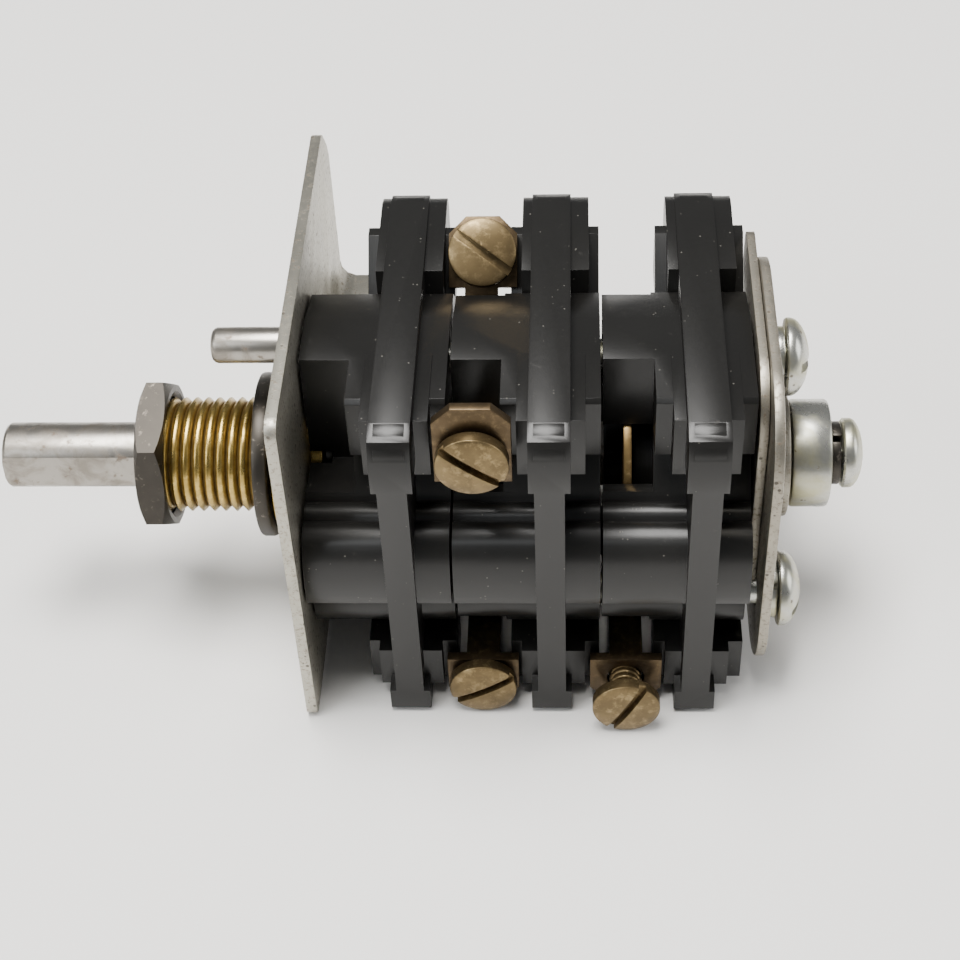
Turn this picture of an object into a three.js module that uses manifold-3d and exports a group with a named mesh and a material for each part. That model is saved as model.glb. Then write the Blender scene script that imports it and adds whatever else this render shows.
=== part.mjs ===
// Panel-mounted three-deck rotary switch with knife-type blades and jaw contacts.
// Millimetres. The shaft runs along X, its free end points to -X, +Z is up and
// the switch stands on the feet of its mounting plate and deck barriers.
import * as THREE from 'three';
import { mergeVertices } from 'three/addons/utils/BufferGeometryUtils.js';
import Module from 'manifold-3d';

const wasm = await Module();
wasm.setup();

// ---- driving dimensions -------------------------------------------------
const AXIS_H = 22.6;            // shaft axis above the feet
const GAP = 0.3;                // clearance kept between neighbouring pieces
const DECKS = 3;
const PITCH = 17.46;            // deck pitch along the shaft, 11/16 in
const DECK_L = PITCH - GAP;
const FIRST = GAP;              // left face of the first deck
const END = FIRST + DECKS * PITCH;

const BARRIER_X = 11.4;         // barrier centre from a deck's left face
const BAR_FRONT = -22.8;
const BAR_BACK = 23.4;
const BAR_TOP = 23.6;
const FOOT = -AXIS_H;

const SHAFT_R = 4.05;
const SHAFT_TIP = -39.1;
const SQUARE = 5.6;             // driving square of the shaft
const SHAFT_END = END + 10.3;

const THREAD_R = 7.14;          // 9/16-18 bushing thread
const THREAD_PITCH = 1.411;
const BUSH_TIP = -21.0;
const BUSH_SHOULDER = -4.8;
const BUSH_SHOULDER_R = 9.4;
const NUT_FLATS = 17.46;
const NUT_X = [-21.4, -17.85];
const WASHER_R = 10.25;
const WASHER_X = [-6.9, -5.1];
const PIN_R = 2.15;
const PIN_TIP = -11;
const PIN_AT = [0.2, 17.8];
const PIN_STEM_R = 1.5;

const PLATE_T = 1.3;
const PLATE_FRONT = -23.8;
const PLATE_BACK = 35;
const PLATE_TOP = 26.6;
const TAB_Z = 0.4;              // upper face of the plate's bent tab
const BOLT_R = 1.9;
const BOLT_CIRCLE = 16.8;
const BOLT_ANGLES = [94, 214, 334];
const HOLE_R = BOLT_R + GAP;

const ROTOR_R = 8;
const ROTOR_SQUARE = 9.6;       // step of the rotor that the blade sits on
const CHAMBER_R = 13.2;         // space the blade sweeps
const BLADE_R = 12.7;
const BLADE_T = 1.0;
const BARREL_R = 15.2;
const CHAMBER_L = 6.6;
const CONTACT_X = 2.95;         // contact plane from a deck's left face
const NOTCH_W = 5.85;
const JAW_T = 0.7;
const STRIP_T = 1.2;
const STRIP_W = 8.7;
const SCREW_R = 2.0;
const HEAD_R = 4.1;
const HEAD_T = 2.1;
const HEAD_DOME = 0.6;
const PAD_Y = 20.2;             // middle of the upright terminal pads
const SEAT_Y = PAD_Y + STRIP_T / 2 + GAP;
const HIGH_Z = 19.8;            // front upper terminal screw
const LOW_Z = -18.3;            // lower terminal screws
const REAR_BORE = 5.2;
const COLLAR_BORE = 3.05;
const DETENT_ANGLES = [34, 154];
const DETENT_X = FIRST + 9.8;
const BALL_R = 1.55;

const rad = (a) => a * Math.PI / 180;
const polar = (r, a) => [r * Math.cos(rad(a)), r * Math.sin(rad(a))];

// ---- materials ----------------------------------------------------------
const mat = (color, roughness, metalness) =>
  new THREE.MeshStandardMaterial({ color, roughness, metalness });
const phenolic = () => mat(0x121211, 0.38, 0.0);
const oldSteel = () => mat(0x8d897d, 0.5, 0.85);
const darkSteel = () => mat(0x37342f, 0.5, 0.8);
const platedSteel = () => mat(0x9b988a, 0.42, 0.85);
const brass = () => mat(0xa37a33, 0.38, 0.9);
const brownBrass = () => mat(0x55422a, 0.5, 0.8);
const springSteel = () => mat(0x6f6d68, 0.4, 0.9);

// ---- solids -------------------------------------------------------------
function solid(geometry) {
  const g = geometry.clone();
  g.deleteAttribute('normal');
  g.deleteAttribute('uv');
  const m = mergeVertices(g, 1e-5);
  const p = m.attributes.position.array;
  const tri = [];
  const idx = m.index.array;
  let volume = 0;
  const v = (i) => new THREE.Vector3(p[3 * i], p[3 * i + 1], p[3 * i + 2]);
  for (let i = 0; i < idx.length; i += 3) {
    const [a, b, c] = [idx[i], idx[i + 1], idx[i + 2]];
    if (a === b || b === c || a === c) continue;
    tri.push([a, b, c]);
    volume += v(a).dot(v(b).cross(v(c)));
  }
  const flat = tri.flatMap(([a, b, c]) => (volume > 0 ? [a, b, c] : [a, c, b]));
  return new wasm.Manifold(new wasm.Mesh({
    numProp: 3, vertProperties: new Float32Array(p), triVerts: new Uint32Array(flat),
  }));
}

const join = (first, ...rest) => rest.reduce((a, b) => a.add(b), first);
const cut = (first, ...rest) => rest.reduce((a, b) => a.subtract(b), first);

// Outline in the Y-Z plane, given as [y, z] points, run from x0 to x1.
const toX = new THREE.Matrix4().makeBasis(
  new THREE.Vector3(0, 1, 0), new THREE.Vector3(0, 0, 1), new THREE.Vector3(1, 0, 0));

function shapeOf(points) {
  return new THREE.Shape(points.map(([a, b]) => new THREE.Vector2(a, b)));
}

function alongX(shape, x0, x1, curveSegments = 8) {
  const g = new THREE.ExtrudeGeometry(shape,
    { depth: x1 - x0, bevelEnabled: false, curveSegments });
  return solid(g.applyMatrix4(toX).translate(x0, 0, 0));
}

const prism = (points, x0, x1) => alongX(shapeOf(points), x0, x1);

// Outline in the X-Z plane run along Y.
function alongY(points, y0, y1) {
  const g = new THREE.ExtrudeGeometry(shapeOf(points), { depth: y1 - y0, bevelEnabled: false });
  return solid(g.rotateX(Math.PI / 2).translate(0, y1, 0));
}

function box(x0, x1, y0, y1, z0, z1) {
  return solid(new THREE.BoxGeometry(x1 - x0, y1 - y0, z1 - z0)
    .translate((x0 + x1) / 2, (y0 + y1) / 2, (z0 + z1) / 2));
}

function rod(r, x0, x1, y = 0, z = 0, seg = 24) {
  return solid(new THREE.CylinderGeometry(r, r, x1 - x0, seg)
    .rotateZ(-Math.PI / 2).translate((x0 + x1) / 2, y, z));
}

// Turned piece on the X axis from [x, r] points that start and end on the axis.
function turned(profile, seg = 28) {
  const pts = profile.map(([x, r]) => new THREE.Vector2(r, x));
  return solid(new THREE.LatheGeometry(pts, seg).rotateZ(-Math.PI / 2));
}

function squareBar(side, x0, x1) {
  const h = side / 2;
  return box(x0, x1, -h, h, -h, h);
}

function roundedRect(y0, y1, z0, z1, r) {
  const [a, b, c, d] = Array.isArray(r) ? r : [r, r, r, r];
  const s = new THREE.Shape();
  s.moveTo(y0 + a, z0).lineTo(y1 - b, z0);
  s.absarc(y1 - b, z0 + b, b, -Math.PI / 2, 0);
  s.lineTo(y1, z1 - c);
  s.absarc(y1 - c, z1 - c, c, 0, Math.PI / 2);
  s.lineTo(y0 + d, z1);
  s.absarc(y0 + d, z1 - d, d, Math.PI / 2, Math.PI);
  s.lineTo(y0, z0 + a);
  s.absarc(y0 + a, z0 + a, a, Math.PI, Math.PI * 1.5);
  return s;
}

function sector(r0, r1, a0, a1, x0, x1, steps = 14) {
  const pts = [];
  for (let i = 0; i <= steps; i += 1) pts.push(polar(r1, a0 + (a1 - a0) * i / steps));
  for (let i = steps; i >= 0; i -= 1) pts.push(polar(r0, a0 + (a1 - a0) * i / steps));
  return prism(pts, x0, x1);
}

const group = new THREE.Group();

function add(name, body, material) {
  const { vertProperties, triVerts, numProp } = body.getMesh();
  const g = new THREE.BufferGeometry();
  const pos = new Float32Array(vertProperties.length / numProp * 3);
  for (let i = 0; i < pos.length / 3; i += 1) {
    for (let k = 0; k < 3; k += 1) pos[3 * i + k] = vertProperties[numProp * i + k];
  }
  g.setAttribute('position', new THREE.BufferAttribute(pos, 3));
  g.setIndex(new THREE.BufferAttribute(new Uint32Array(triVerts), 1));
  const flat = g.toNonIndexed();
  flat.computeVertexNormals();
  const mesh = new THREE.Mesh(flat, material);
  mesh.name = name;
  group.add(mesh);
}

const boltHoles = (x0, x1, r = HOLE_R) => BOLT_ANGLES.map((a) => {
  const [y, z] = polar(BOLT_CIRCLE, a);
  return rod(r, x0, x1, y, z, 16);
});

// ---- front hardware -----------------------------------------------------
function mountingPlate() {
  const ear = [[18, 1], [PLATE_BACK, 1], [PLATE_BACK, 20.6], [34.2, 22.4], [31.4, 26],
    [30.2, PLATE_TOP], [18, PLATE_TOP]];
  const sheet = join(
    alongX(roundedRect(PLATE_FRONT, 23.8, FOOT, PLATE_TOP, [1.5, 2, 0.4, 2]), -PLATE_T, 0),
    prism(ear, -PLATE_T, 0));
  const bend = alongY([
    [-PLATE_T, 5], [-PLATE_T, 2], [-0.9, 0.3], [0.3, -0.8], [2, TAB_Z - PLATE_T],
    [9, TAB_Z - PLATE_T], [9, TAB_Z], [2, TAB_Z], [0.9, 0.9], [0.2, 1.8], [0, 3], [0, 5],
  ], 24.6, PLATE_BACK);
  return cut(join(sheet, bend),
    rod(7.3, -3, 1, 0, 0, 48),
    rod(PIN_STEM_R + GAP, -3, 1, ...PIN_AT, 24),
    ...boltHoles(-3, 1).slice(1),
    box(-3, 1, 23.8, 24.6, 0, 3.4));
}

function bushing() {
  const p = [[BUSH_TIP, 0], [BUSH_TIP, THREAD_R - 1]];
  const turns = Math.floor((BUSH_SHOULDER - 0.4 - BUSH_TIP) / THREAD_PITCH);
  for (let i = 0; i < turns; i += 1) {
    const x = BUSH_TIP + 0.35 + i * THREAD_PITCH;
    p.push([x, THREAD_R - 0.8], [x + 0.55, THREAD_R], [x + 0.86, THREAD_R]);
  }
  p.push([BUSH_SHOULDER - 0.2, THREAD_R - 0.8], [BUSH_SHOULDER, BUSH_SHOULDER_R],
    [-PLATE_T - GAP, BUSH_SHOULDER_R]);
  p.push([-PLATE_T - GAP, 7], [GAP, 7], [GAP, 8.2], [1.5, 8.2], [1.5, 0]);
  return cut(turned(p, 28), rod(SHAFT_R + GAP, BUSH_TIP - 1, 3, 0, 0, 28));
}

function hexNut() {
  const [x0, x1] = NUT_X;
  const flat = NUT_FLATS / 2;
  const r = flat / Math.cos(Math.PI / 6);
  const hex = prism([0, 1, 2, 3, 4, 5].map((k) => polar(r, 135 + 60 * k)), x0, x1);
  const lens = turned([[x0, 0], [x0, flat - 0.2], [x0 + 0.75, r + 0.05],
    [x1 - 0.75, r + 0.05], [x1, flat - 0.2], [x1, 0]], 36);
  return cut(hex.intersect(lens), rod(THREAD_R + GAP, x0 - 1, x1 + 1, 0, 0, 40));
}

function panelWasher() {
  return cut(rod(WASHER_R, ...WASHER_X, 0, 0, 40), rod(THREAD_R + GAP, -8, -3, 0, 0, 32));
}

function locatingPin() {
  const profile = [[PIN_TIP, 0], [PIN_TIP, 1.8], [PIN_TIP + 0.3, PIN_R], [-PLATE_T - GAP, PIN_R],
    [-PLATE_T - GAP, PIN_STEM_R], [-0.05, PIN_STEM_R], [-0.05, 0]];
  return turned(profile, 28).translate([0, ...PIN_AT]);
}

function shaft() {
  const flatDepth = 0.65;
  const round = turned([[SHAFT_TIP, 0], [SHAFT_TIP, 3.55], [SHAFT_TIP + 0.5, SHAFT_R],
    [2.2, SHAFT_R], [2.2, 0]], 40);
  const flat = box(SHAFT_TIP - 1, -22.4, -SHAFT_R - 1, -SHAFT_R + flatDepth, -6, 6)
    .rotate([-5, 0, 0]);
  const tail = turned([[END + 2.2, 0], [END + 2.2, 2.75], [SHAFT_END, 2.75], [SHAFT_END, 0]], 32);
  const body = join(cut(round, flat), squareBar(SQUARE, 1.2, END + 2.5), tail);
  return cut(body, rod(1.5 + GAP, END + 3.6, SHAFT_END + 1, 0, 0, 20));
}

// ---- decks --------------------------------------------------------------
// Section of the deck body: a barrel, a flat-topped block over it, the columns of the
// two lower bolts, and a swelling with a ridge above it across the front.
function hub(x0, x1) {
  const block = prism([[-13.9, 13.2], [-13.9, 21], [-13.4, 21.5], [0.5, 21.5], [7.6, 19.4],
    [9.9, 16.7], [10.5, 10], [-6, 10]], x0, x1);
  const column = (r, angle) => rod(r, x0, x1, ...polar(BOLT_CIRCLE, angle), 28);
  const ridge = rod(1.6, x0, x1, -15.2, 4.6, 14);
  const swelling = prism([[-12, -4], [-21.2, -4], [-21.7, -3.6], [-21.9, -2.2], [-21.8, 0],
    [-21.3, 2.6], [-20.2, 4.6], [-19.5, 5.2], [-18.6, 5.6], [-17.7, 5.7], [-17, 5.4],
    [-15.2, 3.9], [-12, 3.9]], x0, x1);
  return join(rod(BARREL_R, x0, x1, 0, 0, 40), block, column(3.9, BOLT_ANGLES[1]),
    column(4.9, BOLT_ANGLES[2]), ridge, swelling);
}

function barrier(left) {
  const xc = left + BARRIER_X;
  const span = (a, b, points) => prism(points, xc + a, Math.min(xc + b, left + DECK_L));
  const web = alongX(roundedRect(BAR_FRONT, BAR_BACK, FOOT, BAR_TOP, [1.5, 1.5, 3, 3.4]),
    xc - 1.7, xc + 1.7, 6);
  const top = span(-2.35, 2.35, [[-22.8, 15.8], [-22.8, 20.6], [-21.9, 22.8], [-19.6, 23.6],
    [20.4, 23.6], [22.6, 22.9], [23.4, 20.8], [23.4, 15.8]]);
  const feet = span(-2.5, 2.4, [[-22.8, -18.6], [-22.8, -21.8], [-22.1, FOOT], [21.6, FOOT],
    [23.4, -21.2], [23.4, -17.9]]);
  const frontFlange = span(-3.7, 4, [[-17.3, 13.4], [-17.3, 21.7], [-6, 21.7], [-6, 13.4]]);
  const backFlange = span(-3.5, 4.55, [[8, 12], [8, 22.6], [20.6, 23.2], [22.5, 22.5],
    [23.4, 20.6], [23.4, 12]]);
  const ledge = span(-4.9, 6, [[8.6, 15.6], [10.3, 17.5], [15.2, 22.4], [16.7, 22.4],
    [16.7, 15.6]]);
  const low = (side, a, b, y, z) => span(a, b,
    [[side * 12, -14], [side * y, -14], [side * y, z], [side * 12, z]]);
  return join(web, top, feet, frontFlange, backFlange, ledge,
    ...[-1, 1].flatMap((side) => [low(side, -3.7, 4, 20.2, -20.2), low(side, -5, 6, 18.6, -20.6)]));
}

const SLOTS = {
  high_front: [[-6.8, 6], [-6.8, 24], [-24, 24], [-24, 10.3], [-11, 6]],
  high_back: [[5.5, 5], [5.5, 17], [8.5, 22], [26, 26], [26, 14], [9, 5]],
  low_front: [[-8.6, -5], [-24, -14.3], [-24, -24], [-3.4, -24], [-3.4, -5]],
  low_back: [[8.6, -5], [24, -14.3], [24, -24], [3.4, -24], [3.4, -5]],
};

// The moulding of one deck. The first deck holds the detent wheel instead of contacts.
function housing(index) {
  const left = FIRST + index * PITCH;
  const right = left + DECK_L;
  const notch = (name) => prism(SLOTS[name], left - 1, left + NOTCH_W);
  const bore = rod(ROTOR_R + 0.5, left - 1, right + 1, 0, 0, 28);
  const pocket = (a) => rod(BALL_R + 0.35, 6, 13.9, 0, 0, 20).rotate([0, -90, 0])
    .rotate([a - 90, 0, 0]).translate([DETENT_X, 0, 0]);
  const hollows = index === 0
    ? [rod(9.8, left - 1, left + 2.6, 0, 0, 40), notch('high_front'), ...DETENT_ANGLES.map(pocket)]
    : [rod(CHAMBER_R, left - 1, left + CHAMBER_L, 0, 0, 36), ...Object.keys(SLOTS).map(notch)];
  return cut(join(hub(left, right), barrier(left)), bore, ...boltHoles(left - 1, right + 1),
    ...hollows);
}

function detentWheel() {
  const left = FIRST + 7.4;
  const pts = [];
  for (let i = 0; i < 48; i += 1) {
    const a = i * 7.5;
    pts.push(polar(7.35 - 0.45 * Math.cos(rad(8 * (a - DETENT_ANGLES[0]))), a));
  }
  return cut(prism(pts, left, left + 4.8), squareBar(SQUARE + 2 * GAP, left - 1, left + 6));
}

function detentBall(angle) {
  const [y, z] = polar(9.15, angle);
  return solid(new THREE.SphereGeometry(BALL_R, 20, 12).translate(DETENT_X, y, z));
}

function detentSpring(angle) {
  const pts = [];
  const turns = 2.5;
  const steps = 24;
  for (let i = 0; i <= steps; i += 1) {
    const t = i / steps * turns * 2 * Math.PI;
    pts.push(new THREE.Vector3(1.1 * Math.cos(t), 1.1 * Math.sin(t), 11.3 + 2.1 * i / steps));
  }
  const wire = new THREE.Shape();
  wire.absarc(0, 0, 0.28, 0, 2 * Math.PI);
  const g = new THREE.ExtrudeGeometry(wire, {
    steps, curveSegments: 4, extrudePath: new THREE.CatmullRomCurve3(pts),
  });
  return solid(g).rotate([angle - 90, 0, 0]).translate([DETENT_X, 0, 0]);
}

// Rotor of a contact deck, with a nose that carries the blade.
function rotor(index) {
  const left = FIRST + index * PITCH;
  const face = left + CONTACT_X;
  const body = join(rod(ROTOR_R, face + BLADE_T / 2 + GAP, left + PITCH - 0.6, 0, 0, 40),
    squareBar(ROTOR_SQUARE, left + GAP, face + BLADE_T));
  return cut(body, squareBar(SQUARE + 2 * GAP, left - 1, left + PITCH + 1));
}

function blade(index, a0, a1) {
  const face = FIRST + index * PITCH + CONTACT_X;
  const [x0, x1] = [face - BLADE_T / 2, face + BLADE_T / 2];
  const plate = join(rod(ROTOR_R, x0, x1, 0, 0, 40), sector(5, BLADE_R, a0, a1, x0, x1));
  return cut(plate, squareBar(ROTOR_SQUARE + 2 * GAP, x0 - 1, x1 + 1));
}

// Two leaves either side of the blade plane, joined outside the blade's sweep.
function jaw(face, angle) {
  const w = 4.2;
  const inner = 9.4;
  const outer = 15;
  const leaf = (x0) => box(x0, x0 + JAW_T, inner, outer, -w / 2, w / 2).rotate([angle, 0, 0]);
  const off = BLADE_T / 2 + GAP;
  const bridge = box(face - off - JAW_T, face + off + JAW_T, BLADE_R + GAP + 0.2, outer,
    -w / 2, w / 2).rotate([angle, 0, 0]);
  return join(leaf(face - off - JAW_T), leaf(face + off), bridge);
}

// Strip that follows a path of [y, z] points, with mitred corners.
function strip(path, x0, x1) {
  const n = path.map((p, i) => {
    const a = path[Math.max(i - 1, 0)];
    const b = path[Math.min(i + 1, path.length - 1)];
    const unit = (u, v) => {
      const d = Math.hypot(v[0] - u[0], v[1] - u[1]);
      return [-(v[1] - u[1]) / d, (v[0] - u[0]) / d];
    };
    const n0 = i === 0 ? unit(p, b) : unit(a, p);
    const n1 = i === path.length - 1 ? n0 : unit(p, b);
    const m = [(n0[0] + n1[0]) / 2, (n0[1] + n1[1]) / 2];
    const k = STRIP_T / 2 / (m[0] * m[0] + m[1] * m[1]);
    return [m[0] * k, m[1] * k];
  });
  const up = path.map(([y, z], i) => [y + n[i][0], z + n[i][1]]);
  const down = path.map(([y, z], i) => [y - n[i][0], z - n[i][1]]).reverse();
  return prism([...up, ...down], x0, x1);
}

// Jaw, lead and screw terminal in one piece. The terminal's end corners are clipped.
function contact(index, t) {
  const face = FIRST + index * PITCH + CONTACT_X;
  const lead = strip(t.lead, face - 2, face + 2);
  const mid = face + (t.shift ?? 0);
  const half = (t.width ?? STRIP_W) / 2;
  const pad = strip(t.pad, mid - half, mid + half);
  const end = t.pad[t.pad.length - 1];
  const clip = (s) => box(-1.5, 1.5, -1.5, 1.5, -3, 3).rotate([0, 0, 45])
    .translate([s * half, 0, 0]);
  const place = (m) => m.rotate([t.padAngle, 0, 0]).translate([mid, end[0], end[1]]);
  const hole = rod(SCREW_R + GAP, -4, 4, 0, 0, 20).rotate([0, -90, 0])
    .translate([0, -t.reach, 0]);
  return cut(join(jaw(face, t.angle), lead, pad), place(clip(-1)), place(clip(1)), place(hole));
}

const HIGH_FRONT = {
  angle: 135,
  lead: [[-9.6, 9.6], [-12.2, 12.2], [-14, 16.3], [-PAD_Y, 16.3]],
  pad: [[-PAD_Y, 15.7], [-PAD_Y, 26.6]],
  padAngle: 90,
  reach: 26.6 - HIGH_Z,
};
const HIGH_BACK = {
  angle: 45,
  lead: [[9.6, 9.6], [9.2, 13.4], [7.9, 16.4], [10.6, 19.1]],
  pad: [[9.9, 18.4], [16, 24.5]],
  padAngle: 45,
  reach: 4.6,
  shift: 0.2,
  width: 8.3,
};
const lowContact = (side) => ({
  angle: side < 0 ? 240 : 300,
  lead: [[side * 6.6, -11.43], [side * 9.0, -15.6], [side * PAD_Y, -15.6]],
  pad: [[side * PAD_Y, -15], [side * PAD_Y, -22.3]],
  padAngle: -90,
  reach: LOW_Z + 22.3,
});

function slottedScrew(headT, dome, length, r = SCREW_R, headR = HEAD_R) {
  const body = turned([[0, 0], [0, headR - 0.35], [-0.35, headR], [-headT + dome, headR],
    [-headT + dome * 0.35, headR * 0.66], [-headT, headR * 0.3], [-headT, 0]], 24);
  const shank = rod(r, -0.2, length, 0, 0, 14);
  const slot = box(-headT - 1, -headT + 1.1, -headR - 1, headR + 1, -0.5, 0.5);
  return cut(join(body, shank), slot);
}

// Terminal screw on a contact deck. Its head faces -Y, or +Y with swing 180.
function terminalScrew(index, y, z, slotTurn, length = 5.6, swing = 0) {
  return slottedScrew(HEAD_T, HEAD_DOME, length).rotate([slotTurn, 0, 0])
    .rotate([0, 0, 90 - swing]).translate([FIRST + index * PITCH + CONTACT_X, y, z]);
}

// Terminal screw that faces up and back at 45 degrees, square to its pad.
function highBackScrew() {
  const [y, z] = [12.114, 21.886];
  return slottedScrew(HEAD_T, HEAD_DOME, 5.6).rotate([36, 0, 0]).rotate([0, 0, 90])
    .rotate([-45, 0, 0]).translate([FIRST + PITCH + CONTACT_X + HIGH_BACK.shift, y, z]);
}

// ---- rear hardware ------------------------------------------------------
function rearInnerPlate() {
  const x0 = END + 0.05;
  return cut(alongX(roundedRect(-14.6, 16.2, -14, 22.8, [5, 5, 2, 7]), x0, x0 + 1, 6),
    rod(REAR_BORE, x0 - 1, x0 + 3, 0, 0, 36), ...boltHoles(x0 - 1, x0 + 3));
}

function rearOuterPlate() {
  const x0 = END + 1.2;
  return cut(alongX(roundedRect(-21, 15, -19.5, 23.5, [9, 9, 9, 10]), x0, x0 + 1.2, 8),
    rod(REAR_BORE, x0 - 1, x0 + 3, 0, 0, 36), ...boltHoles(x0 - 1, x0 + 3));
}

const REAR = END + 2.4;         // outer face of the rear plates

function lockWasher(x0, thickness, outer, inner, y, z, gapAngle) {
  const ring = cut(rod(outer, x0, x0 + thickness, y, z, 24),
    rod(inner, x0 - 1, x0 + 3, y, z, 18));
  const split = box(x0 - 1, x0 + 3, 0, outer + 1, -0.35, 0.35).rotate([gapAngle, 0, 0])
    .translate([0, y, z]);
  return cut(ring, split);
}

function throughBolt(angle) {
  const [y, z] = polar(BOLT_CIRCLE, angle);
  const tip = angle === BOLT_ANGLES[0] ? 0.6 : -PLATE_T;
  const x0 = REAR + 0.2 + 1.0 + 0.2;
  const head = turned([[tip, 0], [tip, BOLT_R - 0.3], [tip + 0.4, BOLT_R], [x0, BOLT_R],
    [x0, 4.6], [x0 + 0.7, 4.55], [x0 + 1.7, 3.9], [x0 + 2.5, 2.6], [x0 + 2.8, 1.2],
    [x0 + 2.8, 0]], 24);
  const slot = box(x0 + 1.6, x0 + 4, -6, 6, -0.55, 0.55).rotate([angle * 1.7, 0, 0]);
  return cut(head, slot).translate([0, y, z]);
}

function rearWasher() {
  return cut(rod(7.8, REAR + 0.25, REAR + 2.8, 0, 0, 44), rod(COLLAR_BORE, REAR - 1, REAR + 4, 0, 0, 28));
}

function collar() {
  const x0 = REAR + 3.1;
  return cut(turned([[x0, 0], [x0, 6.3], [x0 + 0.4, 6.65], [x0 + 4.3, 6.65], [x0 + 4.8, 6.2],
    [x0 + 4.8, 0]], 44), rod(COLLAR_BORE, x0 - 1, x0 + 6, 0, 0, 28));
}

function endScrew() {
  const x0 = SHAFT_END + 0.3 + 1.1 + 0.25;
  return slottedScrew(2.7, 1.7, 6.8, 1.5, 4.3).rotate([0, 0, 180]).rotate([35, 0, 0])
    .translate([x0, 0, 0]);
}

// ---- assembly -----------------------------------------------------------
add('mounting_plate', mountingPlate(), oldSteel());
add('threaded_bushing', bushing(), brass());
add('mounting_nut', hexNut(), darkSteel());
add('panel_washer', panelWasher(), darkSteel());
add('locating_pin', locatingPin(), oldSteel());
add('shaft', shaft(), oldSteel());
for (let i = 0; i < DECKS; i += 1) add(`deck_${i + 1}_housing`, housing(i), phenolic());
add('detent_wheel', detentWheel(), springSteel());
DETENT_ANGLES.forEach((a, i) => {
  add(`detent_ball_${i + 1}`, detentBall(a), springSteel());
  add(`detent_spring_${i + 1}`, detentSpring(a), springSteel());
});
add('deck_2_rotor', rotor(1), phenolic());
add('deck_2_blade', blade(1, 30, 155), brass());
add('deck_3_rotor', rotor(2), phenolic());
add('deck_3_blade', blade(2, 100, 225), brass());
add('deck_2_contact_high_back', contact(1, HIGH_BACK), brownBrass());
add('deck_2_contact_high_front', contact(1, HIGH_FRONT), brownBrass());
add('deck_2_contact_low_front', contact(1, lowContact(-1)), brownBrass());
add('deck_3_contact_low_front', contact(2, lowContact(-1)), brownBrass());
add('deck_3_contact_low_back', contact(2, lowContact(1)), brownBrass());
add('deck_2_screw_high_front', terminalScrew(1, -SEAT_Y, HIGH_Z, 37), brownBrass());
add('deck_2_screw_low_front', terminalScrew(1, -SEAT_Y, LOW_Z, -30), brownBrass());
add('deck_3_screw_low_front', terminalScrew(2, -SEAT_Y - 3, LOW_Z, -62, 8.5), brass());
add('deck_3_screw_low_back', terminalScrew(2, SEAT_Y, LOW_Z, 20, 5.6, 180), brownBrass());
add('deck_2_screw_high_back', highBackScrew(), brownBrass());
add('rear_inner_plate', rearInnerPlate(), oldSteel());
add('rear_outer_plate', rearOuterPlate(), oldSteel());
BOLT_ANGLES.forEach((a, i) => {
  const [y, z] = polar(BOLT_CIRCLE, a);
  add(`bolt_lock_washer_${i + 1}`, lockWasher(REAR + 0.2, 1, 3.6, 2.2, y, z, 30 + 100 * i),
    platedSteel());
  add(`through_bolt_${i + 1}`, throughBolt(a), platedSteel());
});
add('rear_washer', rearWasher(), oldSteel());
add('rear_collar', collar(), platedSteel());
add('end_lock_washer', lockWasher(SHAFT_END + 0.3, 1.1, 3.9, 1.8, 0, 0, 110), darkSteel());
add('end_screw', endScrew(), platedSteel());

// Origin at the centre of the standing face of the whole switch.
group.updateMatrixWorld(true);
const bounds = new THREE.Box3().setFromObject(group);
const centre = bounds.getCenter(new THREE.Vector3());
for (const mesh of group.children) {
  mesh.geometry.translate(-centre.x, -centre.y, -bounds.min.z);
}

export default group;
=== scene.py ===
import math

import bmesh
import bpy
from mathutils import Matrix, Vector


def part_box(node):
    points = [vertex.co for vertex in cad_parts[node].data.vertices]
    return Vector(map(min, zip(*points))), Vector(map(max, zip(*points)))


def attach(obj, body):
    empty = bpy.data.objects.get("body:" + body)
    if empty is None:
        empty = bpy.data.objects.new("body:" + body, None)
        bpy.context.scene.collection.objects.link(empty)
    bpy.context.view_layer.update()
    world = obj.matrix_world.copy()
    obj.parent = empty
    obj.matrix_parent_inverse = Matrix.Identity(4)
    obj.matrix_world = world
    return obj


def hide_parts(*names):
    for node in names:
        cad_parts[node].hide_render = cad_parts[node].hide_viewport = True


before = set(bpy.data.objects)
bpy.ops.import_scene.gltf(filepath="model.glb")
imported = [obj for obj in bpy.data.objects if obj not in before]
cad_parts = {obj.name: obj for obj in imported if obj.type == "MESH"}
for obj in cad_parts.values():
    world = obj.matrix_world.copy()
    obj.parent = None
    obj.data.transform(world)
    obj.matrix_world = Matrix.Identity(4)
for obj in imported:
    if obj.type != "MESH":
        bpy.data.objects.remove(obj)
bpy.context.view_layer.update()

# ---- measures, in millimetres along the shaft and around its axis ---------
MM = 0.001
PLATE_T = 1.3
THREAD_R, THREAD_DEPTH, THREAD_PITCH = 7.14, 0.8, 1.411
BUSH_TIP, BUSH_SHOULDER = -21.0, -4.8
SHOULDER_R = 9.4
SHAFT_TIP, SHAFT_R = -39.1, 4.05
SHAFT_BORE_R = 4.35
FLAT_TO = -22.4
NUT_FLATS, NUT_FROM, NUT_TO = 17.46, -21.4, -17.85
WASHER_FROM, WASHER_TO, WASHER_R = -6.9, -5.1, 10.25
PIN_TIP = -11.0
PIN_R, PIN_STEM_R, PIN_Y, PIN_Z = 2.15, 1.5, 0.2, 17.8
GAP = 0.3
SCREW_R, HEAD_R = 2.0, 4.1
BOLT_R, BOLT_HEAD_R, BOLT_HEAD_T = 1.9, 4.6, 2.8
SQUARE, TAIL_R, TAIL_BORE_R = 5.6, 2.75, 1.8
COLLAR_BORE_R, COLLAR_R, REAR_WASHER_R = 3.05, 6.65, 7.8
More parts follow.
